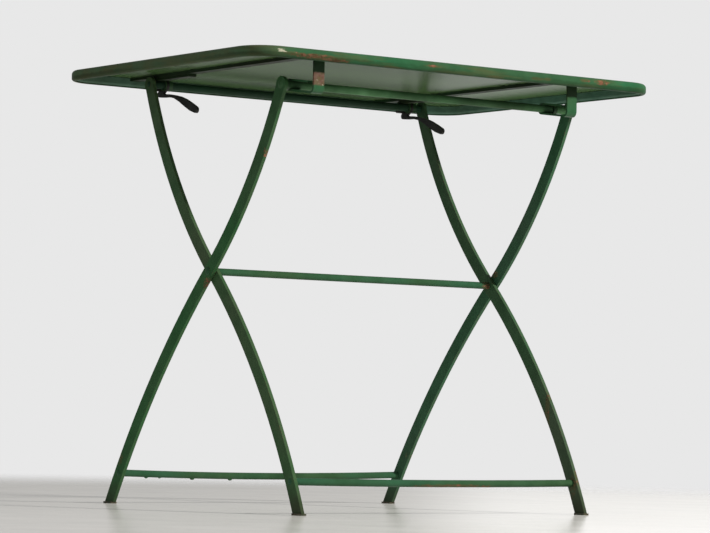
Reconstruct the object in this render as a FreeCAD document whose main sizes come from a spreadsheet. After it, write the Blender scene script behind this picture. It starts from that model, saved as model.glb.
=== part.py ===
import FreeCAD, Part
import Sketcher
import math
import os

# Folding iron cafe table: a pan-shaped steel top on two scissor frames of curved flat bar.
# X runs along the top's long side, Y across it and Z up. The floor is Z = 0, and the
# pivot of the scissor frames lies over the origin.

SIZES = (
    ("top_length", 838), ("top_width", 600), ("top_height", 740), ("corner_radius", 55),
    ("sheet_thickness", 1.5), ("rim_height", 18), ("rim_round", 7), ("hem_round", 5),
    ("hem_depth", 8), ("edge_bar_inset", 5), ("edge_bar_width", 6), ("edge_bar_height", 14.5),
    ("edge_bar_round", 5),
    ("rib_width", 18), ("rib_depth", 5.5), ("rib_left_place", -274.5), ("rib_right_place", 250.5),
    ("leg_width", 23.5), ("leg_thickness", 6), ("eye_radius", 13), ("frame_width", 604),
    ("pivot_height", 394), ("crossing_angle", 45.4), ("outer_foot_reach", 297),
    ("inner_foot_reach", 264), ("near_bar_reach", 201), ("near_bar_height", 691.5),
    ("far_bar_reach", 210), ("bar_diameter", 13), ("bar_tenon", 9),
    ("stretcher_diameter", 12), ("stretcher_tenon", 8), ("stretcher_height", 53),
    ("stretcher_sag", 4), ("bow_gap", 0.2), ("tenon_root", 8), ("axle_diameter", 12),
    ("axle_journal", 9), ("washer_diameter", 22), ("washer_thickness", 1.1),
    ("side_gap", 0.3), ("fit_gap", 0.06), ("foot_length", 27), ("foot_breadth", 13),
    ("foot_thickness", 3), ("foot_round", 3),
    ("loop_width", 20.5), ("loop_thickness", 3.5), ("loop_reach", 268), ("loop_bend", 6),
    ("loop_tilt", 7.5), ("tab_bend", 3), ("loop_tab", 15), ("loop_lip", 52), ("hook_width", 16),
    ("hook_thickness", 5), ("hook_tab", 50), ("hook_tab_place", 104), ("hook_drop", 3),
    ("lever_thickness", 5), ("lever_offset", 13.5), ("lever_eye_wall", 3.5),
    ("catch_diameter", 6), ("catch_length", 22), ("collar_diameter", 19), ("collar_length", 7),
    ("ring_length", 1.8), ("rivet_diameter", 5), ("rivet_head", 11), ("rivet_dome", 2.5),
    ("hook_rivet_inset", 12), ("axle_head", 15), ("axle_dome", 3),
)

doc = FreeCAD.newDocument("folding_table")
sheet = doc.addObject("Spreadsheet::Sheet", "sizes")
for row, (alias, value) in enumerate(SIZES, start=1):
    sheet.set("A%d" % row, alias)
    sheet.set("B%d" % row, str(value))
    sheet.setAlias("B%d" % row, alias)
doc.recompute()
size = {alias: float(sheet.get(alias)) for alias, value in SIZES}

# Turning about the body diagonal lays a shape drawn in X and Y into the YZ plane, with
# its height along X. A turn about the shape's own axis is then an angle from +Y to +Z.
ACROSS = FreeCAD.Rotation(FreeCAD.Vector(1, 1, 1), 120)
UPRIGHT = FreeCAD.Vector(0, 0, 1)
LEFT, RIGHT = -1, 1
SIDE_NAMES = {LEFT: "left", RIGHT: "right"}
OVERCUT = 1.0           # how far a cutting tool runs past the face that it opens
BLOCK_REACH = 200.0     # edge of the block that trims a leg off level, above its foot
FLOOR_OVERRUN = 2.0     # degrees by which a leg's arc runs on below the floor, before the trim
SAME_LEVEL = 0.01       # two heights closer than this are one level
parts = []


def bind(thing, **expressions):
    """Tie properties of an object to cells of the sheet."""
    for name, text in expressions.items():
        thing.setExpression(name, text)
    return thing


def lay(thing, x, y, z, turn=0.0):
    """Place a shape drawn in the YZ plane, with its low-X face at x."""
    rotation = ACROSS.multiply(FreeCAD.Rotation(UPRIGHT, turn))
    thing.Placement = FreeCAD.Placement(FreeCAD.Vector(x, y, z), rotation)
    return thing


def rod(name, diameter, length, x, y, z):
    """A round bar along X."""
    thing = doc.addObject("Part::Cylinder", name)
    return lay(bind(thing, Radius="(%s) / 2" % diameter, Height=length), x, y, z)


def plate(name, along, across, width, x, y, z, turn=0.0):
    """A flat block in the YZ plane, width along X."""
    thing = doc.addObject("Part::Box", name)
    return lay(bind(thing, Length=along, Width=across, Height=width), x, y, z, turn)


def bend(name, radius, thickness, width, x, y, z, start, sweep):
    """Part of a ring in the YZ plane: radius is that of its middle line."""
    outer = doc.addObject("Part::Cylinder", name + "_outside")
    bind(outer, Radius="%s + (%s) / 2" % (radius, thickness), Height=width)
    outer.Angle = sweep
    inner = doc.addObject("Part::Cylinder", name + "_inside")
    bind(inner, Radius="%s - (%s) / 2" % (radius, thickness), Height=width)
    ring = doc.addObject("Part::Cut", name)
    ring.Base = lay(outer, x, y, z, start)
    ring.Tool = lay(inner, x, y, z, start)
    return ring


def dome(name, diameter, height, x, y, z, way):
    """A domed rivet head: its flat side is at the point, and it bulges the way given."""
    thing = doc.addObject("Part::Sphere", name)
    wide, tall = size[diameter] / 2, size[height]
    radius = (wide ** 2 + tall ** 2) / (2 * tall)
    words = {"wide": "sizes.%s / 2" % diameter, "tall": "sizes.%s" % height}
    bind(thing, Radius="((%(wide)s) ^ 2 + (%(tall)s) ^ 2) / (2 * %(tall)s)" % words)
    thing.Angle1 = math.degrees(math.asin(1 - tall / radius))
    thing.Angle2 = 90
    centre = FreeCAD.Vector(x, y, z) - way * (radius - tall)
    thing.Placement = FreeCAD.Placement(centre, FreeCAD.Rotation(UPRIGHT, way))
    return thing


def fuse(name, things):
    joined = doc.addObject("Part::MultiFuse", name)
    joined.Shapes = things
    joined.Refine = True
    return joined


def cut(name, base, tools):
    """Take tools away from base."""
    drilled = doc.addObject("Part::Cut", name)
    drilled.Base = base
    drilled.Tool = tools[0] if len(tools) == 1 else fuse(name + "_tools", tools)
    return drilled


def keep(thing, label):
    """Make an object a sub-part: its label names its file."""
    thing.Label = label
    parts.append(thing)
    return thing


# ---- places worked out from the sizes ----
outer_face = size["frame_width"] / 2
outer_leg_inside = outer_face - size["leg_thickness"]
inner_leg_outside = outer_leg_inside - size["washer_thickness"] - size["side_gap"]
inner_leg_inside = inner_leg_outside - size["leg_thickness"]
pivot = (0.0, size["pivot_height"])
near_bar = (-size["near_bar_reach"], size["near_bar_height"])
rim_bottom = size["top_height"] - size["rim_height"]
sheet_underside = size["top_height"] - size["sheet_thickness"]
rib_bottom = sheet_underside - size["rib_depth"]
hook_bottom = rib_bottom - size["hook_thickness"]
far_bar = (size["far_bar_reach"], hook_bottom - size["side_gap"] - size["bar_diameter"] / 2)
rib_places = {LEFT: size["rib_left_place"], RIGHT: size["rib_right_place"]}


# ---- legs ----
def arc_to(end, hand, downward):
    """The arc that leaves the pivot at the crossing angle and ends at a given point."""
    slope = math.radians(size["crossing_angle"])
    normal = (-hand * math.cos(slope), -math.sin(slope) if downward else math.sin(slope))
    reach = (end[0] - pivot[0], end[1] - pivot[1])
    along_normal = reach[0] * normal[0] + reach[1] * normal[1]
    radius = (reach[0] ** 2 + reach[1] ** 2) / (2 * along_normal)
    centre = (pivot[0] + radius * normal[0], pivot[1] + radius * normal[1])
    first = math.degrees(math.atan2(pivot[1] - centre[1], pivot[0] - centre[0]))
    last = math.degrees(math.atan2(end[1] - centre[1], end[0] - centre[0]))
    turn = (last - first + 180) % 360 - 180
    return centre, radius, first, turn


def leg_arc(name, end, hand, downward, x, extra):
    """Flat bar along one arc of the leg, carried on past its end by an angle."""
    centre, radius, first, turn = arc_to(end, hand, downward)
    turn += math.copysign(extra, turn)
    start = first if turn > 0 else first + turn
    return bend(name, str(radius), "sizes.leg_width", "sizes.leg_thickness",
                x, centre[0], centre[1], start, abs(turn))


def point_on_leg(foot, hand, height):
    """The leg's middle line at a given height below the pivot."""
    centre, radius, first, turn = arc_to(foot, hand, True)
    across = math.sqrt(radius ** 2 - (height - centre[1]) ** 2)
    return (centre[0] + hand * across, height)


def leg(label, hand, side, inside, bar, foot_reach, pivot_clearance):
    """An S-shaped leg: hand is the side of the pivot, in Y, that its foot stands on."""
    x = inside if side == RIGHT else -inside - size["leg_thickness"]
    foot = (hand * foot_reach, 0.0)
    lower = leg_arc(label + "_lower", foot, hand, True, x, FLOOR_OVERRUN)
    upper = leg_arc(label + "_upper", bar, -hand, False, x, 0.0)
    eye = rod(label + "_eye", "2 * sizes.eye_radius", "sizes.leg_thickness", x, bar[0], bar[1])
    blank = fuse(label + "_blank", [lower, upper, eye])
    hole_start = x - OVERCUT
    hole_length = "sizes.leg_thickness + %g" % (2 * OVERCUT)
    stretcher = point_on_leg(foot, hand, size["stretcher_height"])
    pivot_hole = "sizes.axle_journal + 2 * %g" % pivot_clearance
    holes = [rod(label + "_pivot_hole", pivot_hole, hole_length, hole_start, *pivot),
             rod(label + "_eye_hole", "sizes.bar_tenon", hole_length, hole_start, *bar),
             rod(label + "_rung_hole", "sizes.stretcher_tenon", hole_length, hole_start, *stretcher)]
    below = doc.addObject("Part::Box", label + "_below")
    bind(below, Length=hole_length)
    below.Width = BLOCK_REACH
    below.Height = BLOCK_REACH
    low_corner = FreeCAD.Vector(hole_start, foot[0] - BLOCK_REACH / 2,
                                size["foot_thickness"] - BLOCK_REACH)
    below.Placement = FreeCAD.Placement(low_corner, FreeCAD.Rotation())
    keep(cut(label + "_cut", blank, holes + [below]), label)
    return stretcher


def foot_plate(label, side, inside, centre_y):
    """The small flat shoe that a leg is peened into."""
    x = side * (inside + size["leg_thickness"] / 2) - size["foot_breadth"] / 2
    block = doc.addObject("Part::Box", label + "_block")
    bind(block, Length="sizes.foot_breadth", Width="sizes.foot_length", Height="sizes.foot_thickness")
    block.Placement = FreeCAD.Placement(
        FreeCAD.Vector(x, centre_y - size["foot_length"] / 2, 0), FreeCAD.Rotation())
    doc.recompute()
    rounded = doc.addObject("Part::Fillet", label + "_rounded")
    rounded.Base = block
    upright = [number for number, edge in enumerate(block.Shape.Edges, start=1)
               if abs(edge.Vertexes[0].Z - edge.Vertexes[-1].Z) > size["foot_thickness"] / 2]
    rounded.Edges = [(number, size["foot_round"], size["foot_round"]) for number in upright]
    keep(rounded, label)


stretchers = {}
for side in (LEFT, RIGHT):
    name = SIDE_NAMES[side]
    stretchers["far"] = leg("outer_leg_" + name, 1, side, outer_leg_inside, near_bar,
                            size["outer_foot_reach"], size["fit_gap"])
    stretchers["near"] = leg("inner_leg_" + name, -1, side, inner_leg_inside, far_bar,
                             size["inner_foot_reach"], 0.0)
    foot_plate("outer_foot_" + name, side, outer_leg_inside, size["outer_foot_reach"])
    foot_plate("inner_foot_" + name, side, inner_leg_inside, -size["inner_foot_reach"])


# ---- rods across each frame ----
def riveted_rod(label, diameter, tenon, inside, place, head_start, head, head_dome, sag=0.0):
    """A rod between two legs, with a tenon through each leg and a head outside it."""
    y, z = place
    if sag:
        bow_half = inside - size["bow_gap"]
        bow_radius = (bow_half ** 2 + sag ** 2) / (2 * sag)
        bow_turn = math.degrees(math.asin(bow_half / bow_radius))
        bow = doc.addObject("Part::Torus", label + "_bow")
        bow.Radius1 = bow_radius
        bind(bow, Radius2="%s / 2" % diameter)
        bow.Angle3 = 2 * bow_turn
        standing = FreeCAD.Rotation(FreeCAD.Vector(1, 0, 0), 90)
        spun = FreeCAD.Rotation(UPRIGHT, -90 - bow_turn)
        bow.Placement = FreeCAD.Placement(
            FreeCAD.Vector(0, y, z - sag + bow_radius), standing.multiply(spun))
        pieces = [bow]
        rooted = inside - size["tenon_root"]
        stub = str(head_start - rooted)
        for end, start in enumerate((-head_start, rooted)):
            pieces.append(rod("%s_tenon_%d" % (label, end), tenon, stub, start, y, z))
    else:
        pieces = [rod(label + "_middle", diameter, str(2 * inside), -inside, y, z),
                  rod(label + "_tenon", tenon, str(2 * head_start), -head_start, y, z)]
    for side in (LEFT, RIGHT):
        name = "%s_head_%s" % (label, SIDE_NAMES[side])
        outward = FreeCAD.Vector(side, 0, 0)
        pieces.append(dome(name, head, head_dome, side * head_start, y, z, outward))
    keep(fuse(label + "_whole", pieces), label)


riveted_rod("near_top_bar", "sizes.bar_diameter", "sizes.bar_tenon", outer_leg_inside, near_bar,
            outer_face, "axle_head", "rivet_dome")
riveted_rod("far_top_bar", "sizes.bar_diameter", "sizes.bar_tenon", inner_leg_inside, far_bar,
            inner_leg_outside, "rivet_head", "washer_thickness")
riveted_rod("far_stretcher", "sizes.stretcher_diameter", "sizes.stretcher_tenon", outer_leg_inside,
            stretchers["far"], outer_face, "rivet_head", "rivet_dome", size["stretcher_sag"])
riveted_rod("near_stretcher", "sizes.stretcher_diameter", "sizes.stretcher_tenon", inner_leg_inside,
            stretchers["near"], inner_leg_outside, "rivet_head", "washer_thickness",
            size["stretcher_sag"] / 2)
riveted_rod("pivot_axle", "sizes.axle_diameter", "sizes.axle_journal", inner_leg_inside, pivot,
            outer_face + size["side_gap"], "axle_head", "axle_dome")


def ring(name, diameter, bore, length, x, place):
    """A plain collar or washer around a rod."""
    body = rod(name + "_body", diameter, length, x, *place)
    hole = rod(name + "_hole", bore, length, x, *place)
    return cut(name, body, [hole])


washers = []
for side in (LEFT, RIGHT):
    start = inner_leg_outside if side == RIGHT else -inner_leg_outside - size["washer_thickness"]
    washers.append(ring("washer_" + SIDE_NAMES[side], "sizes.washer_diameter", "sizes.axle_journal",
                        "sizes.washer_thickness", start, pivot))
keep(fuse("washer_pair", washers), "pivot_washers")


# ---- the top ----
def total(aliases):
    return sum(size[alias] for alias in aliases)


def rounded_block(name, insets, low, depth, crown=0.0, hem=0.0):
    """A block with the plan of the top drawn in by the named insets, with rounded rims."""
    body = doc.addObject("PartDesign::Body", name)
    plane = next(item for item in body.Origin.OriginFeatures if item.Role == "XY_Plane")
    plan = body.newObject("Sketcher::SketchObject", name + "_plan")
    plan.AttachmentSupport = [(plane, "")]
    plan.MapMode = "FlatFace"
    plan.AttachmentOffset = FreeCAD.Placement(FreeCAD.Vector(0, 0, low), FreeCAD.Rotation())
    radius = size["corner_radius"] - total(insets)
    across = size["top_length"] / 2 - size["corner_radius"]
    along = size["top_width"] / 2 - size["corner_radius"]
    arcs = []
    for number, (sign_x, sign_y) in enumerate(((1, 1), (-1, 1), (-1, -1), (1, -1))):
        circle = Part.Circle(FreeCAD.Vector(sign_x * across, sign_y * along, 0), UPRIGHT, radius)
        start = number * math.pi / 2
        arcs.append(Part.ArcOfCircle(circle, start, start + math.pi / 2))
    plan.addGeometry(arcs)
    for number, arc in enumerate(arcs):
        following = arcs[(number + 1) % 4]
        plan.addGeometry(Part.LineSegment(arc.EndPoint, following.StartPoint))
    start_point, end_point, centre_point, sketch_origin = 1, 2, 3, -1
    for number in range(4):
        line, following = number + 4, (number + 1) % 4
        plan.addConstraint(Sketcher.Constraint("Tangent", number, end_point, line, start_point))
        plan.addConstraint(Sketcher.Constraint("Tangent", line, end_point, following, start_point))
    for number in range(3):
        plan.addConstraint(Sketcher.Constraint("Equal", number, number + 1))
    plan.addConstraint(Sketcher.Constraint("Horizontal", 4))
    plan.addConstraint(Sketcher.Constraint("Vertical", 5))
    plan.addConstraint(Sketcher.Constraint(
        "Symmetric", 0, centre_point, 2, centre_point, sketch_origin, start_point))
    drawn_in = " - ".join(["sizes.corner_radius"] + ["sizes." + alias for alias in insets])
    straight = "sizes.%s - 2 * sizes.corner_radius"
    rules = ((("Radius", 0, radius), drawn_in),
             (("Distance", 4, 2 * across), straight % "top_length"),
             (("Distance", 5, 2 * along), straight % "top_width"))
    for wanted, rule in rules:
        place = plan.addConstraint(Sketcher.Constraint(*wanted))
        plan.setExpression("Constraints[%d]" % place, rule)
    pad = body.newObject("PartDesign::Pad", name + "_pad")
    pad.Profile = plan
    pad.Length = depth
    doc.recompute()
    for tag, level, amount in (("_crown", low + depth, crown), ("_hem", low, hem)):
        if not amount:
            continue
        base = body.Tip
        rim = ["Edge%d" % number for number, edge in enumerate(base.Shape.Edges, start=1)
               if all(abs(vertex.Z - level) < SAME_LEVEL for vertex in edge.Vertexes)]
        rounding = body.newObject("PartDesign::Fillet", name + tag)
        rounding.Base = (base, rim)
        rounding.Radius = amount
        doc.recompute()
    return body


thickness = size["sheet_thickness"]
pan = rounded_block("pan", (), rim_bottom, size["rim_height"], size["rim_round"], size["hem_round"])
hollow = rounded_block("hollow", ("sheet_thickness",), rim_bottom + thickness,
                       size["rim_height"] - 2 * thickness,
                       size["rim_round"] - thickness, size["hem_round"] - thickness)
mouth = rounded_block("mouth", ("hem_depth",), rim_bottom - OVERCUT, 2 * thickness + OVERCUT)
keep(cut("pressed_pan", pan, [hollow, mouth]), "top_sheet")

ring_low = rim_bottom + thickness
edge_outside = rounded_block("edge_outside", ("edge_bar_inset",), ring_low, size["edge_bar_height"])
edge_inside = rounded_block("edge_inside", ("edge_bar_inset", "edge_bar_width"),
                            ring_low - OVERCUT, size["edge_bar_height"] + 2 * OVERCUT)
edge_ring = cut("edge_ring", edge_outside, [edge_inside])
doc.recompute()

# The edge bar is rounded along its lower inside edge, where hands take hold of the table.
edge_bar_reach = size["edge_bar_inset"] + size["edge_bar_width"]
inside_half_length = size["top_length"] / 2 - edge_bar_reach
rib_half_length = size["top_width"] / 2 - edge_bar_reach
edge_ring_rounded = doc.addObject("Part::Fillet", "edge_ring_rounded")
edge_ring_rounded.Base = edge_ring
edge_ring_rounded.Edges = [
    (number, size["edge_bar_round"], size["edge_bar_round"])
    for number, edge in enumerate(edge_ring.Shape.Edges, start=1)
    if all(abs(vertex.Z - ring_low) < SAME_LEVEL
           and abs(vertex.X) < inside_half_length + SAME_LEVEL
           and abs(vertex.Y) < rib_half_length + SAME_LEVEL for vertex in edge.Vertexes)]
keep(edge_ring_rounded, "edge_bar")

loop_strap_y = -size["loop_reach"]
tab_radius = size["tab_bend"] + size["loop_thickness"] / 2
loop_rivets = [loop_strap_y - tab_radius - size["loop_tab"] / 2]
hook_rivets = [size["hook_tab_place"] + size["hook_rivet_inset"],
               size["hook_tab_place"] + size["hook_tab"] - size["hook_rivet_inset"]]


def upright_pin(name, diameter, length, x, y, z):
    """A round bar standing on its end."""
    pin = bind(doc.addObject("Part::Cylinder", name), Radius="%s / 2" % diameter, Height=length)
    pin.Placement = FreeCAD.Placement(FreeCAD.Vector(x, y, z), FreeCAD.Rotation())
    return pin


def rivet_holes(name, x, places):
    """Drills through a strap's tab and the rib that it is riveted to."""
    low = rib_bottom - size["hook_thickness"] - OVERCUT
    length = "sizes.rib_depth + sizes.hook_thickness + %g" % (2 * OVERCUT)
    return [upright_pin("%s_%d" % (name, number), "sizes.rivet_diameter", length, x, y, low)
            for number, y in enumerate(places)]


def strap_run(name, points, strap_thickness, strap_width, x):
    """Flat strap along straight runs in the YZ plane, with rounded joints between them."""
    pieces = []
    half = size[strap_thickness.split(".")[1]] / 2
    for number, (start, end) in enumerate(zip(points, points[1:])):
        angle = math.atan2(end[1] - start[1], end[0] - start[0])
        low_y = start[0] + half * math.sin(angle)
        low_z = start[1] - half * math.cos(angle)
        pieces.append(plate("%s_run_%d" % (name, number), str(math.dist(start, end)),
                            strap_thickness, strap_width, x, low_y, low_z, math.degrees(angle)))
        if number:
            pieces.append(rod("%s_turn_%d" % (name, number), strap_thickness, strap_width, x, *start))
    return pieces


def bar_loop(label, centre_x):
    """The long loop under the near side that the near top bar turns in."""
    x = centre_x - size["loop_width"] / 2
    wide, thick = "sizes.loop_width", "sizes.loop_thickness"
    around = "(sizes.bar_diameter / 2 + sizes.fit_gap + sizes.loop_thickness / 2)"
    around_bar = (size["bar_diameter"] + size["loop_thickness"]) / 2 + size["fit_gap"]
    tilt = math.radians(size["loop_tilt"])

    def tilted(along, up):
        """A point given from the bar's axis, along the loop's slanting runs and square to them."""
        return (near_bar[0] + along * math.cos(tilt) - up * math.sin(tilt),
                near_bar[1] + along * math.sin(tilt) + up * math.cos(tilt))

    corner = size["loop_bend"] + size["loop_thickness"] / 2
    rise = corner - around_bar
    corner_y = loop_strap_y + corner
    corner_along = (corner_y - near_bar[0] + rise * math.sin(tilt)) / math.cos(tilt)
    corner_z = tilted(corner_along, rise)[1]
    tab_height = rib_bottom - size["loop_thickness"] / 2
    tab_y = loop_strap_y - tab_radius
    pieces = [bend(label + "_eye", around, thick, wide, x, *near_bar, size["loop_tilt"] - 90, 180)]
    pieces.append(bend(label + "_corner", "(sizes.loop_bend + sizes.loop_thickness / 2)", thick,
                       wide, x, corner_y, corner_z, 180, 90 + size["loop_tilt"]))
    pieces.append(bend(label + "_tab_bend", "(sizes.tab_bend + sizes.loop_thickness / 2)", thick,
                       wide, x, tab_y, tab_height - tab_radius, 0, 90))
    runs = ((tilted(corner_along, -around_bar), tilted(0, -around_bar)),
            (tilted(-size["loop_lip"], around_bar), tilted(0, around_bar)),
            ((loop_strap_y, corner_z), (loop_strap_y, tab_height - tab_radius)),
            ((tab_y - size["loop_tab"], tab_height), (tab_y, tab_height)))
    for number, ends in enumerate(runs):
        pieces += strap_run("%s_%d" % (label, number), ends, thick, wide, x)
    holes = rivet_holes(label + "_drill", centre_x, loop_rivets)
    keep(cut(label + "_cut", fuse(label + "_blank", pieces), holes), label)


def bar_hook(label, centre_x):
    """The strap under the far side that rests on the far top bar and hooks behind it."""
    x = centre_x - size["hook_width"] / 2
    wide, thick = "sizes.hook_width", "sizes.hook_thickness"
    around = "(sizes.bar_diameter / 2 + sizes.side_gap + sizes.hook_thickness / 2)"
    around_bar = (size["bar_diameter"] + size["hook_thickness"]) / 2 + size["side_gap"]
    flat_height = rib_bottom - size["hook_thickness"] / 2
    flat = ((size["hook_tab_place"], flat_height), (far_bar[0], flat_height))
    nose_y = far_bar[0] + around_bar
    nose = ((nose_y, far_bar[1] - size["hook_drop"]), (nose_y, far_bar[1]))
    pieces = strap_run(label + "_flat", flat, thick, wide, x)
    pieces += strap_run(label + "_nose", nose, thick, wide, x)
    pieces.append(bend(label + "_crown", around, thick, wide, x, *far_bar, 0, 90))
    holes = rivet_holes(label + "_drill", centre_x, hook_rivets)
    keep(cut(label + "_cut", fuse(label + "_blank", pieces), holes), label)


def rib(label, centre_x):
    """A flat batten across the underside that the straps are riveted to."""
    bar = doc.addObject("Part::Box", label + "_bar")
    between_edge_bars = "sizes.top_width - 2 * (sizes.edge_bar_inset + sizes.edge_bar_width)"
    bind(bar, Length="sizes.rib_width", Width=between_edge_bars, Height="sizes.rib_depth")
    low_corner = FreeCAD.Vector(centre_x - size["rib_width"] / 2, -rib_half_length, rib_bottom)
    bar.Placement = FreeCAD.Placement(low_corner, FreeCAD.Rotation())
    holes = rivet_holes(label + "_drill", centre_x, loop_rivets + hook_rivets)
    keep(cut(label + "_cut", bar, holes), label)


def rivet_shank(name, strap_thickness, x, y):
    """A rivet up through strap and rib, flush with both."""
    return upright_pin(name, "sizes.rivet_diameter", "sizes.rib_depth + sizes.%s" % strap_thickness,
                       x, y, rib_bottom - size[strap_thickness])


def domed_rivet(name, strap_thickness, x, y):
    """A rivet up through strap and rib, with a domed head below."""
    shank = rivet_shank(name + "_shank", strap_thickness, x, y)
    head = dome(name + "_head", "rivet_head", "rivet_dome", x, y, rib_bottom - size[strap_thickness],
                FreeCAD.Vector(0, 0, -1))
    return fuse(name, [shank, head])


loop_set, hook_set = [], []
for side in (LEFT, RIGHT):
    name, place = SIDE_NAMES[side], rib_places[side]
    rib("rib_" + name, place)
    bar_loop("bar_loop_" + name, place)
    bar_hook("bar_hook_" + name, place)
    loop_set += [domed_rivet("loop_rivet_%s_%d" % (name, number), "loop_thickness", place, y)
                 for number, y in enumerate(loop_rivets)]
    hook_set += [rivet_shank("hook_rivet_%s_%d" % (name, number), "hook_thickness", place, y)
                 for number, y in enumerate(hook_rivets)]
keep(fuse("loop_rivet_set", loop_set), "loop_rivets")
# The far top bar slides along the hooks and the ribs, so the hooks' rivets are flush.
keep(fuse("hook_rivet_set", hook_set), "hook_rivets")


# ---- latch levers on the far top bar ----
# Each station of the lever is its offset from the bar's axis in Y and Z, and its half width.
CHEEK = ((3, -3, 8.5), (15.5, -13.8, 5.6))
HANDLE = ((15.5, -13.8, 5.6), (0, -17.6, 3), (-16, -18.4, 2.5), (-32, -21.2, 2.8),
          (-49, -26.4, 4.6), (-66, -33.6, 6.3), (-84, -42, 6.8), (-99, -48, 5.6))
CATCH = (11.5, -6.5)


def tapered_link(name, start, end, x):
    """A flat link between two rounded ends of different size."""
    outline = doc.addObject("Sketcher::SketchObject", name + "_outline")
    spread = math.dist(start[:2], end[:2])
    heading = math.atan2(end[1] - start[1], end[0] - start[0])
    lean = math.acos((start[2] - end[2]) / spread)
    arcs = []
    for (y, z, radius), first, last in ((start, heading + lean, heading - lean + 2 * math.pi),
                                        (end, heading - lean, heading + lean)):
        circle = Part.Circle(FreeCAD.Vector(y, z, 0), UPRIGHT, radius)
        arcs.append(Part.ArcOfCircle(circle, first, last))
    outline.addGeometry(arcs)
    outline.addGeometry(Part.LineSegment(arcs[0].EndPoint, arcs[1].StartPoint))
    outline.addGeometry(Part.LineSegment(arcs[1].EndPoint, arcs[0].StartPoint))
    for joined in ((0, 2, 2, 1), (2, 2, 1, 1), (1, 2, 3, 1), (3, 2, 0, 1)):
        outline.addConstraint(Sketcher.Constraint("Coincident", *joined))
    link = doc.addObject("Part::Extrusion", name)
    link.Base = outline
    link.DirMode = "Normal"
    link.Solid = True
    bind(link, LengthFwd="sizes.lever_thickness")
    lay(outline, x, far_bar[0], far_bar[1])
    return link


def latch_lever(label, rib_place, side):
    """A lever that turns on the far top bar, with a curved handle and a catch pin."""
    centre_x = rib_place + size["lever_offset"]
    x = centre_x - size["lever_thickness"] / 2
    thick = "sizes.lever_thickness"
    bore = "sizes.bar_diameter + 2 * sizes.fit_gap"
    pieces = [rod(label + "_eye", bore + " + 2 * sizes.lever_eye_wall", thick, x, *far_bar)]
    for tag, stations in (("_cheek", CHEEK), ("_handle", HANDLE)):
        for number, (start, end) in enumerate(zip(stations, stations[1:])):
            pieces.append(tapered_link("%s%s_%d" % (label, tag, number), start, end, x))
    catch = (far_bar[0] + CATCH[0], far_bar[1] + CATCH[1])
    through = "sizes.lever_thickness + %g" % (2 * OVERCUT)
    holes = [rod(label + "_bore", bore, through, x - OVERCUT, *far_bar),
             rod(label + "_catch_hole", "sizes.catch_diameter", through, x - OVERCUT, *catch)]
    keep(cut(label + "_cut", fuse(label + "_blank", pieces), holes), label)
    pin_start = x + size["lever_thickness"] - size["catch_length"]
    keep(rod("catch_pin_" + side, "sizes.catch_diameter", "sizes.catch_length", pin_start, *catch),
         "catch_pin_" + side)
    outer_ring = ring(label + "_outer_ring", "sizes.collar_diameter", "sizes.bar_diameter",
                      "sizes.ring_length", x - size["side_gap"] - size["ring_length"], far_bar)
    inner_ring = ring(label + "_inner_ring", "sizes.collar_diameter", "sizes.bar_diameter",
                      "sizes.collar_length", x + size["lever_thickness"] + size["side_gap"], far_bar)
    return [outer_ring, inner_ring]


lever_rings = []
for side in (LEFT, RIGHT):
    name = SIDE_NAMES[side]
    lever_rings += latch_lever("latch_lever_" + name, rib_places[side], name)
keep(fuse("lever_ring_set", lever_rings), "lever_collars")

# Collars on the near top bar keep the loops, and so the top, from sliding along it.
left_collar_start = -outer_leg_inside
right_collar_start = rib_places[RIGHT] + size["loop_width"] / 2 + size["side_gap"]
keep(ring("left_collar", "sizes.collar_diameter", "sizes.bar_diameter", "sizes.collar_length",
          left_collar_start, near_bar), "bar_collar_left")
keep(ring("right_collar", "sizes.collar_diameter", "sizes.bar_diameter", "sizes.collar_length",
          right_collar_start, near_bar), "bar_collar_right")


# ---- checks and files ----
doc.recompute()
for thing in doc.Objects:
    if "Invalid" in thing.State or "Error" in thing.State:
        raise RuntimeError("failed to rebuild: %s" % thing.Name)
labels = [thing.Label for thing in parts]
if len(set(labels)) != len(labels):
    raise RuntimeError("two sub-parts share a label")
for thing in parts:
    if thing.Shape.isNull() or not thing.Shape.isValid() or not thing.Shape.Solids:
        raise RuntimeError("bad shape: %s" % thing.Label)

os.makedirs("parts", exist_ok=True)
for thing in parts:
    thing.Shape.exportStep("parts/%s.step" % thing.Label)
    print("%-20s %2d solid(s) %12.1f mm3" % (thing.Label, len(thing.Shape.Solids), thing.Shape.Volume))
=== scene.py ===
import math

import bmesh
import bpy
from mathutils import Matrix, Vector


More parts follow.
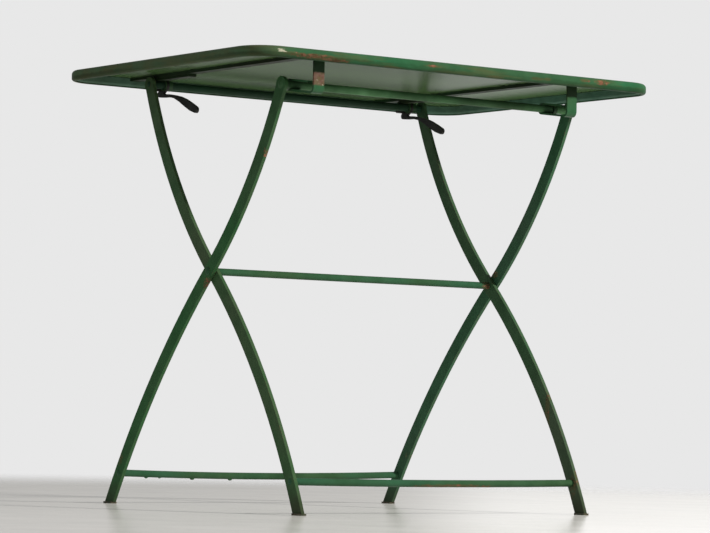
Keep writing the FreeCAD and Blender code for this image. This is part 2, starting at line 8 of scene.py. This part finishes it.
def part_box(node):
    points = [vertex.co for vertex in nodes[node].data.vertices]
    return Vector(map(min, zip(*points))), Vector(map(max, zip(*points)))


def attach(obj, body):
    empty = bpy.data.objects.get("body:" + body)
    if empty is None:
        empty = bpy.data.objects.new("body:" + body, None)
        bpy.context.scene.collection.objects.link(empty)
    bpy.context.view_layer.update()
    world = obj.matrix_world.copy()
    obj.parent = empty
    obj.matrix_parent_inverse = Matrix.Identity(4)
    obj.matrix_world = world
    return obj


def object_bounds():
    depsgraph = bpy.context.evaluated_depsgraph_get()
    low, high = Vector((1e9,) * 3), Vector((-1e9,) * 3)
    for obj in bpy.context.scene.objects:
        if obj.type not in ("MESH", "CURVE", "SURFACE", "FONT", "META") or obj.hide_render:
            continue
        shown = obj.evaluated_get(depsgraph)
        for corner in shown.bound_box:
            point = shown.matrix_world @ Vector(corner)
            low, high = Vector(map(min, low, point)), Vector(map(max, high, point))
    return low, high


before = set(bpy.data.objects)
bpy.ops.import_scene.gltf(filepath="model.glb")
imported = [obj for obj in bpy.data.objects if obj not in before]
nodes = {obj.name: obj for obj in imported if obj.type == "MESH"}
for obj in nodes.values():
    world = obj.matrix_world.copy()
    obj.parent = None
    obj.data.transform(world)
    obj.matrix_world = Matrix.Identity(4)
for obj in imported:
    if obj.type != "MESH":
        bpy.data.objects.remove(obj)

# A folding iron cafe table in old green enamel: dressed CAD nodes, and the beads of paint that
# ran and set under its low far rod. Everything is in metres, in the CAD frame.

cad_low, cad_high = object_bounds()

# ---- where things are, and how large ----
CAMERA_PLACE = Vector((-3.172, -4.396, 0.162))
CAMERA_HEADING = math.radians(-35.80)
CAMERA_TILT = math.radians(2.676)
CAMERA_ROLL = math.radians(1.209)
CAMERA_LENS = 160.5
KEY_PLACE = Vector((3.0, -4.1, 3.0))
KEY_SIZE = 0.5
KEY_POWER = 455.0
FILL_PLACE = Vector((-4.0, -1.5, 1.2))
FILL_SIZE = 1.6
FILL_POWER = 14.0
ROOM_LIT_SIDE = (0.798, -0.603, 0.0)
ROOM_SHADE_EDGE = (-0.015, 0.03)
ROOM_BEHIND = (0.0, 0.45)
ROOM_SHADED = 0.42
ROOM_LIT = 1.02
FLOOR_RADIUS = 3.0
FLOOR_FADE = (1.3, 2.6)

# A bead of set paint: its X and its radius.
BEADS = ((-0.248, 0.0028), (-0.220, 0.0020), (-0.152, 0.0034), (-0.072, 0.0034))
BEAD_SHAPE = (1.3, 0.8, 0.7, 1.0)
BEAD_REACH = 0.1

# Rods that share a paint, and how far an edge is rounded by wear.
RODS = {"top_bar": ["near_top_bar"], "low_rod": ["far_stretcher", "near_stretcher", "pivot_axle"]}
WORN_BEVEL = 0.0005
LEVER_BEVEL = 0.0007
BEVEL_ANGLE = math.radians(50)

# Where paint is rubbed, dirty or gone, and where painted shade darkens it. STRAP_BARE is a band of
# heights; the other pairs say where a change starts and where it is complete. A ragged length is how
# far noise moves that edge.
UNDERSIDE = (cad_high.z - 0.003, cad_high.z - 0.0025)
STRAP_BARE = (0.6865, 0.7075)
STRAP_LEFT = (-0.2, -0.22)
STRAP_FRONT = (-0.258, -0.262)
STRAP_BLUR = 0.001
STRAP_RAGGED = 0.0035
RIM_BROWN = (cad_low.x + 0.09, cad_low.x + 0.02)
RIM_SHADE_LINE = cad_high.z - 0.010
RIM_BLUR = 0.002
RIM_RAGGED = 0.004
FOOT_GRIMY = (0.055, 0.005)
FOOT_RAGGED = 0.02
SCRAPE_PLACE = (-0.372, cad_low.y, cad_high.z - 0.0075)
SCRAPE_REACH = (0.015, 0.006, 0.0026)

# A chip on the near rim: its X, its drop below the top, its reach along X and up, its bareness.
RIM_CHIPS = ((-0.300, 0.0125, 0.042, 0.0040, 1.1), (-0.262, 0.0150, 0.024, 0.0030, 1.1),
             (-0.345, 0.0110, 0.020, 0.0030, 0.5), (-0.069, 0.0085, 0.016, 0.0022, 0.7),
             (0.150, 0.0120, 0.014, 0.0025, 0.2), (0.172, 0.0110, 0.008, 0.0025, 0.3),
             (0.253, 0.0065, 0.010, 0.0030, 0.8), (0.291, 0.0075, 0.015, 0.0042, 1.0),
             (-0.150, 0.0170, 0.020, 0.0020, 0.3), (0.060, 0.0160, 0.018, 0.0020, 0.2))
RIM_CHIP_DEPTH = 0.006
RIM_SPOTS = [((x, cad_low.y, cad_high.z - drop), (along, RIM_CHIP_DEPTH, up), bare)
             for x, drop, along, up, bare in RIM_CHIPS]

# A spot on a leg or a rod: its place, its reach along the axes, its bareness.
LEG_SPOTS = (((-0.302, 0.002, 0.372), (0.006, 0.010, 0.012), 0.8),
             ((0.302, -0.008, 0.415), (0.010, 0.010, 0.008), 0.9),
             ((-0.299, -0.160, 0.583), (0.004, 0.004, 0.010), 1.0),
             ((0.302, 0.238, 0.090), (0.006, 0.008, 0.008), 0.5),
             ((0.293, -0.245, 0.050), (0.006, 0.010, 0.022), 0.6),
             ((0.290, -0.172, 0.160), (0.006, 0.006, 0.060), 0.4),
             ((-0.296, 0.262, 0.080), (0.008, 0.010, 0.016), 0.4))
ROD_SPOTS = (((0.03, -0.246, 0.046), (0.080, 0.010, 0.004), 0.7),
             ((-0.276, 0.285, 0.060), (0.020, 0.010, 0.004), 0.8),
             ((0.285, 0.0, 0.394), (0.012, 0.012, 0.012), 0.8))


def colour(red, green, blue):
    """A colour given as it looks on screen, out of 255, as the linear one that shaders use."""
    screen = (channel / 255 for channel in (red, green, blue))
    return tuple(c / 12.92 if c < 0.04045 else ((c + 0.055) / 1.055) ** 2.4 for c in screen) + (1.0,)


# ---- colours ----
LEG_GREENS = {"outer_leg_left": (colour(42, 92, 50), colour(54, 86, 54)),
              "outer_leg_right": (colour(50, 90, 63), colour(63, 84, 68)),
              "inner_leg_left": (colour(54, 86, 53), colour(66, 82, 57)),
              "inner_leg_right": (colour(54, 84, 56), colour(64, 80, 60))}
# Painted light: the near top bar's green is much lighter than the other rods', for floor light on the
# bar.
ROD_GREENS = {"top_bar": colour(94, 142, 96), "low_rod": colour(46, 84, 60)}
TOP_FRESH = colour(41, 91, 59)
TOP_AGED = colour(51, 83, 55)
# Painted shade: the far top bar gets a darker copy of the rod green, for the shade under the far rim.
FAR_BAR_SHADE = colour(36, 66, 48)
FAR_BAR_SHADE_AGED = colour(36, 56, 42)
# Painted light: the bar inside the rim gets a paler, bluer copy of the green, for floor light and its
# reflection.
EDGE_LIT = colour(80, 118, 100)
EDGE_LIT_AGED = colour(84, 110, 92)
FRESH_GREEN = colour(40, 88, 56)
AGED_GREEN = colour(52, 79, 51)
DEEP_GREEN = colour(22, 54, 28)
# A near black green used only as painted shade: strap tops under the rim, the rim low down, ribs and
# hooks.
PAINTED_SHADE = colour(26, 36, 18)
# A pale worn green: rubbed paint on the rim's left end, and on the legs' narrow sides partly painted
# light.
RUBBED_AND_LIT_GREEN = colour(78, 90, 66)
UNDER_GREEN = colour(74, 102, 60)
UNDER_DULL = colour(62, 86, 50)
STAIN = colour(82, 76, 46)
PRIMER = colour(140, 106, 90)
STRAP_PINK = colour(104, 84, 74)
STRAP_RED = colour(88, 62, 50)
RUST = colour(126, 84, 64)
RUST_DARK = colour(70, 50, 32)
PALE_CHIP = colour(206, 198, 174)
BARE_IRON = colour(84, 78, 60)
IRON_DARK = colour(46, 44, 32)
LEVER_BLACK = colour(20, 21, 19)
LEVER_WORN = colour(36, 37, 33)
FLOOR_PALE = colour(240, 236, 229)
FLOOR_CLOUD = colour(234, 230, 223)
BACKDROP = colour(232, 232, 232)
UNDER_ROUGHNESS = 0.24
RELIEF_DEPTH = 0.0003
PAINT_EDGE = 0.0014
IRON_EDGE = 0.001
LEVER_EDGE = 0.0012
FLOOR_RELIEF = 0.00015


# ---- a short way to write node trees ----
class Look:
    """One material: a Principled shader, and short calls for the nodes that feed it."""

    def __init__(self, name, specular=0.5):
        self.material = bpy.data.materials.new(name)
        self.material.use_nodes = True
        self.tree = self.material.node_tree
        self.shader = self.tree.nodes["Principled BSDF"]
        self.shader.inputs["Specular IOR Level"].default_value = specular
        own_space = self.node("ShaderNodeTexCoord")
        self.here = own_space.outputs["Object"]
        self.facing = own_space.outputs["Normal"]
        self.world_facing = self.node("ShaderNodeNewGeometry").outputs["Normal"]

    def node(self, kind, inputs=(), **settings):
        made = self.tree.nodes.new(kind)
        for key, value in settings.items():
            setattr(made, key, value)
        for key, value in dict(inputs).items():
            self.feed(value, made.inputs[key])
        return made

    def feed(self, value, socket):
        if isinstance(value, bpy.types.NodeSocket):
            self.tree.links.new(value, socket)
        else:
            socket.default_value = value

    def sums(self, operation, first, second=0.0, third=0.0):
        """One step of arithmetic; MULTIPLY_ADD is first times second plus third."""
        made = self.node("ShaderNodeMath", {0: first, 1: second, 2: third}, operation=operation)
        return made.outputs[0]

    def times(self, *values):
        product = values[0]
        for value in values[1:]:
            product = self.sums("MULTIPLY", product, value)
        return product

    def noise(self, scale, detail=4.0, roughness=0.55, stretch=None):
        where = self.here
        if stretch:
            where = self.node("ShaderNodeMapping", {"Vector": where, "Scale": stretch}).outputs[0]
        made = self.node("ShaderNodeTexNoise", {
            "Vector": where, "Scale": scale, "Detail": detail, "Roughness": roughness})
        return made.outputs["Fac"]

    def step(self, value, low, high):
        """0 below low and 1 above high, with a smooth rise between; low above high turns it round."""
        made = self.node("ShaderNodeMapRange", {"Value": value, "From Min": low, "From Max": high},
                         interpolation_type="SMOOTHSTEP")
        return made.outputs[0]

    def mix(self, share, first, second):
        """The first colour where the share is 0, the second where it is 1."""
        made = self.node("ShaderNodeMix", {"Factor": share}, data_type="RGBA")
        self.feed(first, made.inputs[6])
        self.feed(second, made.inputs[7])
        return made.outputs[2]

    def part_of(self, vector, axis):
        """One coordinate of a vector."""
        return self.node("ShaderNodeSeparateXYZ", {0: vector}).outputs["XYZ".index(axis)]

    def near(self, centre, reach, ragged):
        """1 at a place on the object, falling to 0 around its reach, with a ragged rim."""
        away = self.node("ShaderNodeVectorMath", {0: self.here, 1: centre}, operation="SUBTRACT")
        scaled = self.node("ShaderNodeVectorMath", {0: away.outputs[0], 1: reach}, operation="DIVIDE")
        length = self.node("ShaderNodeVectorMath", {0: scaled.outputs[0]}, operation="LENGTH")
        wander = self.sums("MULTIPLY_ADD", ragged, 0.8, length.outputs["Value"])
        return self.step(wander, 1.25, 0.75)

    def edges(self, radius):
        """How sharply the surface turns within a radius: 0 on the flat, towards 1 on an edge."""
        rounded = self.node("ShaderNodeBevel", {"Radius": radius}, samples=6).outputs[0]
        match = self.node("ShaderNodeVectorMath", {0: rounded, 1: self.world_facing},
                          operation="DOT_PRODUCT")
        return self.sums("SUBTRACT", 1.0, match.outputs["Value"])

    def finish(self, base, roughness, bump_height, bump_depth):
        self.feed(base, self.shader.inputs["Base Color"])
        self.feed(roughness, self.shader.inputs["Roughness"])
        bump = self.node("ShaderNodeBump", {"Height": bump_height, "Distance": bump_depth})
        self.feed(bump.outputs[0], self.shader.inputs["Normal"])
        return self.material


# ---- materials ----
def rust_colour(look):
    """Thin rust, light to dark brown, with specks of pinkish primer."""
    patchy = look.step(look.noise(90, 6, 0.7), 0.36, 0.60)
    warm = look.mix(patchy, RUST_DARK, RUST)
    return look.mix(look.step(look.noise(260, 4, 0.6), 0.52, 0.70), warm, PRIMER)


def enamel(name, fresh=FRESH_GREEN, aged=AGED_GREEN, deep=DEEP_GREEN, spots=(), chips=0.3,
           edge_wear=0.5, foot_wear=False, grain=(1.0, 1.0, 1.0), extra=None, specular=0.16,
           roughness=0.28, below=None, narrow_light_and_wear=0.0):
    """Brushed enamel over primer and iron: dulled, stained, chipped, and rubbed through at edges.

    Each spot is a place, its reach along the axes, and how bare it is. A surface may have a
    different paint below, and extra wear and painted shade that only one kind of piece has.
    """
    look = Look(name, specular)
    broad = look.step(look.noise(4.5, 3, 0.5), 0.36, 0.64)
    mottled = look.step(look.noise(34, 6, 0.6), 0.32, 0.72)
    brushed = look.step(look.noise(60, 4, 0.5, stretch=grain), 0.3, 0.7)
    paint = look.mix(broad, fresh, aged)
    paint = look.mix(look.times(mottled, 0.35), paint, deep)
    paint = look.mix(look.times(brushed, 0.14), paint, aged)
    # Partly painted light: the narrow sides, picked by which way they face, are lighter in streaks,
    # for light on the thin edges and for rubbed paint.
    if narrow_light_and_wear:
        sideways = look.sums("ABSOLUTE", look.part_of(look.facing, "X"))
        streaky = look.step(look.noise(40, 6, 0.65), 0.36, 0.6)
        rubbed = look.times(look.step(sideways, 0.6, 0.3), streaky, narrow_light_and_wear)
        paint = look.mix(rubbed, paint, RUBBED_AND_LIT_GREEN)
    if below:
        under, paint = below(look, paint)
        on_top = look.sums("SUBTRACT", 1.0, under)
    ragged = look.sums("MULTIPLY_ADD", look.noise(110, 7, 0.7), 2.0, -1.0)
    lost = look.step(look.noise(72, 8, 0.68), 0.80 - 0.1 * chips, 0.83 - 0.1 * chips)
    worn = look.step(look.noise(22, 6, 0.65), 0.44, 0.62)
    rubbed = look.step(look.times(look.edges(PAINT_EDGE), worn), 0.16, 0.34)
    lost = look.sums("MAXIMUM", lost, look.times(rubbed, edge_wear))
    if below:
        lost = look.times(lost, on_top)
    for centre, reach, bare in spots:
        spot = look.near(centre, reach, ragged)
        paint = look.mix(look.times(spot, 0.55), paint, STAIN)
        speckle = look.step(look.noise(230, 5, 0.65, stretch=(0.4, 1.0, 1.0)),
                            0.66 - 0.2 * bare, 0.72 - 0.2 * bare)
        lost = look.sums("MAXIMUM", lost, look.times(spot, speckle))
    surface = look.mix(lost, paint, rust_colour(look))
    if extra:
        surface = extra(look, surface, ragged)
    if foot_wear:
        height = look.sums("MULTIPLY_ADD", ragged, FOOT_RAGGED, look.part_of(look.here, "Z"))
        surface = look.mix(look.times(look.step(height, *FOOT_GRIMY), 0.6), surface, IRON_DARK)
    rough = look.sums("MULTIPLY_ADD", mottled, 0.14, roughness)
    rough = look.sums("MULTIPLY_ADD", lost, 0.35, rough)
    if below:
        smoother = look.sums("SUBTRACT", UNDER_ROUGHNESS, rough)
        rough = look.sums("MULTIPLY_ADD", under, smoother, rough)
    relief = look.sums("MULTIPLY_ADD", brushed, 0.45, look.times(look.noise(420, 3, 0.6), 0.25))
    relief = look.sums("MULTIPLY_ADD", lost, -0.8, relief)
    if below:
        relief = look.times(relief, on_top)
    return look.finish(surface, rough, relief, RELIEF_DEPTH)


def brushed_underside(look, paint):
    """The smoother, duller paint under the sheet: broad patches, and faint strokes along X."""
    level = look.step(look.part_of(look.here, "Z"), *UNDERSIDE)
    under = look.times(level, look.step(look.part_of(look.facing, "Z"), -0.5, -0.9))
    patches = look.step(look.noise(3.2, 4, 0.5, stretch=(0.6, 1.5, 1.0)), 0.34, 0.66)
    strokes = look.step(look.noise(36, 5, 0.6, stretch=(0.08, 1.6, 1.0)), 0.34, 0.68)
    tone = look.mix(patches, UNDER_DULL, UNDER_GREEN)
    tone = look.mix(look.times(strokes, 0.12), tone, UNDER_DULL)
    return under, look.mix(under, paint, tone)


def bared_strap(look, surface, ragged):
    """Straps darkened at the top by a painted shadow of the rim; the left one's front is rubbed to
    primer, with pale dots.
    """
    height = look.sums("MULTIPLY_ADD", ragged, STRAP_RAGGED, look.part_of(look.here, "Z"))
    low, high = STRAP_BARE
    band = look.times(look.step(height, low - STRAP_BLUR, low + STRAP_BLUR),
                      look.step(height, high + STRAP_BLUR, high - STRAP_BLUR))
    left = look.step(look.part_of(look.here, "X"), *STRAP_LEFT)
    front = look.step(look.part_of(look.here, "Y"), *STRAP_FRONT)
    bare = look.mix(look.step(look.noise(110, 6, 0.7), 0.38, 0.60), STRAP_PINK, STRAP_RED)
    stained = look.step(look.noise(60, 5, 0.65), 0.46, 0.60)
    bare = look.mix(look.times(stained, 0.6), bare, STAIN)
    bare = look.mix(look.step(look.noise(260, 3, 0.5), 0.66, 0.72), bare, PALE_CHIP)
    # Painted shadow: the top of each strap is darkened where the rim's shadow falls on it.
    rim_shadow = look.times(look.step(height, high - STRAP_BLUR, high + STRAP_BLUR), 0.75)
    surface = look.mix(rim_shadow, surface, PAINTED_SHADE)
    return look.mix(look.times(band, left, front), surface, bare)


def weathered_rim(look, surface, ragged):
    """The rim: browner on the left, darker low down as painted shade, with a pale scrape by the near
    left corner.
    """
    left = look.step(look.part_of(look.here, "X"), *RIM_BROWN)
    blotches = look.step(look.noise(26, 6, 0.65), 0.36, 0.62)
    surface = look.mix(look.times(left, 0.55), surface, RUBBED_AND_LIT_GREEN)
    surface = look.mix(look.times(left, blotches, 0.3), surface, STAIN)
    brown = look.step(look.noise(15, 5, 0.65, stretch=(0.8, 0.8, 6.0)), 0.46, 0.66)
    side = look.step(look.sums("ABSOLUTE", look.part_of(look.facing, "Z")), 0.97, 0.8)
    surface = look.mix(look.times(brown, side, 0.45), surface, STAIN)
    # Painted shade: the rim is darkened in streaks low down, below a line 10 mm under its top.
    height = look.sums("MULTIPLY_ADD", ragged, RIM_RAGGED, look.part_of(look.here, "Z"))
    low = look.times(look.step(height, RIM_SHADE_LINE + RIM_BLUR, RIM_SHADE_LINE - RIM_BLUR),
                     look.step(look.noise(20, 5, 0.6, stretch=(0.2, 0.2, 2.0)), 0.3, 0.6))
    surface = look.mix(look.times(low, 0.5), surface, PAINTED_SHADE)
    scrape = look.near(SCRAPE_PLACE, SCRAPE_REACH, ragged)
    broken = look.step(look.noise(150, 5, 0.6, stretch=(0.4, 1.0, 1.0)), 0.44, 0.52)
    return look.mix(look.times(scrape, broken, 0.6), surface, PALE_CHIP)


def bare_iron(name):
    """Iron with most of its paint gone: grey brown, with thin rust and brighter edges."""
    look = Look(name, specular=0.4)
    tone = look.mix(look.step(look.noise(110, 7, 0.65), 0.35, 0.65), IRON_DARK, BARE_IRON)
    rusted = look.step(look.noise(60, 8, 0.7), 0.50, 0.62)
    tone = look.mix(look.times(rusted, 0.5), tone, RUST_DARK)
    green = look.step(look.noise(45, 5, 0.6), 0.52, 0.58)
    tone = look.mix(look.times(green, 0.6), tone, DEEP_GREEN)
    bright = look.step(look.edges(IRON_EDGE), 0.08, 0.3)
    tone = look.mix(look.times(bright, 0.5), tone, BARE_IRON)
    rough = look.sums("MULTIPLY_ADD", rusted, 0.2, 0.5)
    return look.finish(tone, rough, look.noise(240, 5, 0.6), RELIEF_DEPTH)


def black_lever(name):
    """Stove black on iron, in two near blacks, with a little iron showing along its edges."""
    look = Look(name, specular=0.28)
    tone = look.mix(look.step(look.noise(50, 6, 0.6), 0.35, 0.7), LEVER_BLACK, LEVER_WORN)
    worn = look.step(look.times(look.edges(LEVER_EDGE), look.noise(60, 6, 0.6)), 0.06, 0.2)
    tone = look.mix(look.times(worn, 0.4), tone, BARE_IRON)
    rough = look.sums("MULTIPLY_ADD", look.noise(90, 5, 0.6), 0.25, 0.36)
    return look.finish(tone, rough, look.noise(260, 4, 0.6), RELIEF_DEPTH)


# ---- dress the CAD nodes ----
def dress(material, *names, bevel=WORN_BEVEL):
    """Give nodes a material, and round their sharp edges a little, as worn iron is."""
    for name in names:
        thing = nodes[name]
        thing.data.materials.clear()
        thing.data.materials.append(material)
        if bevel:
            rounding = thing.modifiers.new("worn_edges", "BEVEL")
            rounding.width = bevel
            rounding.segments = 2
            rounding.limit_method = "ANGLE"
            rounding.angle_limit = BEVEL_ANGLE
            rounding.harden_normals = True


def both(name):
    """The names of a pair of nodes."""
    return [name + "_left", name + "_right"]


for leg, (fresh, aged) in LEG_GREENS.items():
    dress(enamel(leg + "_enamel", fresh=fresh, aged=aged, chips=0.2, edge_wear=0.85,
                 foot_wear=True, spots=LEG_SPOTS, grain=(3.0, 0.5, 0.25), narrow_light_and_wear=0.3,
                 specular=0.08, roughness=0.36),
          leg)
rod_paint = {}
for kind, fresh in ROD_GREENS.items():
    rod_paint[kind] = enamel(kind + "_enamel", fresh=fresh, chips=0.2, edge_wear=0.3,
                             spots=ROD_SPOTS, grain=(0.1, 1.5, 1.5), specular=0.08, roughness=0.4)
    dress(rod_paint[kind], *RODS[kind], bevel=0)
dress(enamel("top_enamel", fresh=TOP_FRESH, aged=TOP_AGED, chips=0.25, edge_wear=0.25,
             spots=RIM_SPOTS, grain=(0.12, 0.5, 2.0), extra=weathered_rim, specular=0.06,
             roughness=0.42, below=brushed_underside),
      "top_sheet", bevel=0)
dress(enamel("iron_enamel", chips=0.35, edge_wear=0.6, extra=bared_strap), *both("bar_loop"))
# Painted shade: the ribs and hooks under the sheet get a near-black copy of the green, for the shade
# they sit in.
dress(enamel("rib_shade_enamel", fresh=DEEP_GREEN, aged=PAINTED_SHADE, deep=PAINTED_SHADE, chips=0.2, edge_wear=0.3,
             roughness=0.5),
      *both("rib"), *both("bar_hook"))
# Painted shade: a darker green on the far top bar, for the shade it sits in.
dress(enamel("far_bar_shade_enamel", fresh=FAR_BAR_SHADE, aged=FAR_BAR_SHADE_AGED, chips=0.2, edge_wear=0.3,
             roughness=0.5, specular=0.08),
      "far_top_bar", bevel=0)
# Painted light: the paler, bluer green on the bar inside the rim stands in for floor light reflected
# on it.
dress(enamel("edge_lit_enamel", fresh=EDGE_LIT, aged=EDGE_LIT_AGED, chips=0.2, edge_wear=0.2,
             roughness=0.5, grain=(0.1, 0.1, 2.0)),
      "edge_bar", bevel=0)
dress(enamel("rivet_enamel", fresh=DEEP_GREEN, chips=0.5, edge_wear=0.4),
      "loop_rivets", "hook_rivets", "lever_collars", "pivot_washers", *both("bar_collar"), bevel=0)
dress(bare_iron("foot_iron"), *both("outer_foot"), *both("inner_foot"))
dress(black_lever("lever_black"), *both("latch_lever"), *both("catch_pin"), bevel=LEVER_BEVEL)


# ---- beads of paint that ran and set under the far stretcher ----
def paint_beads():
    """Each bead sits half sunk in the underside of the bowed rod, found from well below it."""
    rod_low, rod_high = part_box("far_stretcher")
    beads = bmesh.new()
    for x, radius in BEADS:
        below = (x, (rod_low.y + rod_high.y) / 2, rod_low.z - BEAD_REACH)
        place = nodes["far_stretcher"].closest_point_on_mesh(below)[1]
        bmesh.ops.create_uvsphere(beads, u_segments=16, v_segments=10, radius=radius,
                                  matrix=Matrix.Translation(place) @ Matrix.Diagonal(BEAD_SHAPE))
    mesh = bpy.data.meshes.new("paint_beads")
    beads.to_mesh(mesh)
    beads.free()
    mesh.materials.append(rod_paint["low_rod"])
    mesh.shade_smooth()
    piece = bpy.data.objects.new("paint_beads", mesh)
    bpy.context.scene.collection.objects.link(piece)
    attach(piece, "outer_frame")


paint_beads()


# ---- floor, light and camera ----
def floor():
    """A pale, faintly polished floor that fades out well away from the table."""
    bpy.ops.mesh.primitive_circle_add(vertices=96, radius=FLOOR_RADIUS, fill_type="NGON")
    ground = bpy.context.object
    ground.name = "floor"
    look = Look("floor_pale")
    tone = look.mix(look.step(look.noise(1.6, 5, 0.55), 0.3, 0.7), FLOOR_PALE, FLOOR_CLOUD)
    rough = look.sums("MULTIPLY_ADD", look.noise(7, 5, 0.6), 0.1, 0.12)
    look.finish(tone, rough, look.noise(30, 4, 0.5), FLOOR_RELIEF)
    away = look.node("ShaderNodeVectorMath", {0: look.here}, operation="LENGTH").outputs["Value"]
    clear = look.node("ShaderNodeBsdfTransparent")
    blend = look.node("ShaderNodeMixShader", {0: look.step(away, *FLOOR_FADE)})
    look.feed(look.shader.outputs[0], blend.inputs[1])
    look.feed(clear.outputs[0], blend.inputs[2])
    look.feed(blend.outputs[0], look.tree.nodes["Material Output"].inputs["Surface"])
    ground.data.materials.append(look.material)


def surroundings():
    """An even pale backdrop, and for the light a dim room, bright behind on the right."""
    world = bpy.data.worlds.new("studio")
    bpy.context.scene.world = world
    world.use_nodes = True
    tree = world.node_tree
    pale = tree.nodes["Background"]
    pale.inputs["Color"].default_value = BACKDROP
    way = tree.nodes.new("ShaderNodeTexCoord")
    turned = tree.nodes.new("ShaderNodeVectorMath")
    turned.operation = "DOT_PRODUCT"
    turned.inputs[1].default_value = ROOM_LIT_SIDE
    tree.links.new(way.outputs["Generated"], turned.inputs[0])
    split = tree.nodes.new("ShaderNodeSeparateXYZ")
    tree.links.new(way.outputs["Generated"], split.inputs[0])

    def ramp(value, start, end, low, high):
        made = tree.nodes.new("ShaderNodeMapRange")
        made.interpolation_type = "SMOOTHSTEP"
        for socket, setting in zip(made.inputs, (value, start, end, low, high)):
            if isinstance(setting, bpy.types.NodeSocket):
                tree.links.new(setting, socket)
            else:
                socket.default_value = setting
        return made.outputs[0]

    behind = ramp(split.outputs["Y"], *ROOM_BEHIND, ROOM_SHADED, ROOM_LIT)
    soft = tree.nodes.new("ShaderNodeBackground")
    tree.links.new(ramp(turned.outputs["Value"], *ROOM_SHADE_EDGE, ROOM_SHADED, behind),
                   soft.inputs["Strength"])
    ray = tree.nodes.new("ShaderNodeLightPath")
    choose = tree.nodes.new("ShaderNodeMixShader")
    tree.links.new(ray.outputs["Is Camera Ray"], choose.inputs[0])
    tree.links.new(soft.outputs[0], choose.inputs[1])
    tree.links.new(pale.outputs[0], choose.inputs[2])
    tree.links.new(choose.outputs[0], tree.nodes["World Output"].inputs["Surface"])


def lamp(name, place, size, power):
    """A round soft light that no gloss shows, turned towards the middle of the table."""
    light = bpy.data.lights.new(name, "AREA")
    light.shape = "DISK"
    light.size = size
    light.energy = power
    hung = bpy.data.objects.new(name, light)
    hung.location = place
    hung.visible_glossy = False
    aim = Vector((0, 0, cad_high.z / 2)) - place
    hung.rotation_euler = aim.to_track_quat("-Z", "Y").to_euler()
    bpy.context.scene.collection.objects.link(hung)


def camera():
    """The photograph's own view, from low down and to the left."""
    lens = bpy.data.cameras.new("camera")
    lens.lens = CAMERA_LENS
    eye = bpy.data.objects.new("camera", lens)
    turn = (Matrix.Rotation(CAMERA_HEADING, 4, "Z")
            @ Matrix.Rotation(math.pi / 2 + CAMERA_TILT, 4, "X")
            @ Matrix.Rotation(CAMERA_ROLL, 4, "Z"))
    eye.matrix_world = Matrix.Translation(CAMERA_PLACE) @ turn
    bpy.context.scene.collection.objects.link(eye)
    bpy.context.scene.camera = eye


floor()
surroundings()
lamp("key", KEY_PLACE, KEY_SIZE, KEY_POWER)
lamp("fill", FILL_PLACE, FILL_SIZE, FILL_POWER)
camera()
bpy.context.scene.view_settings.view_transform = "Standard"
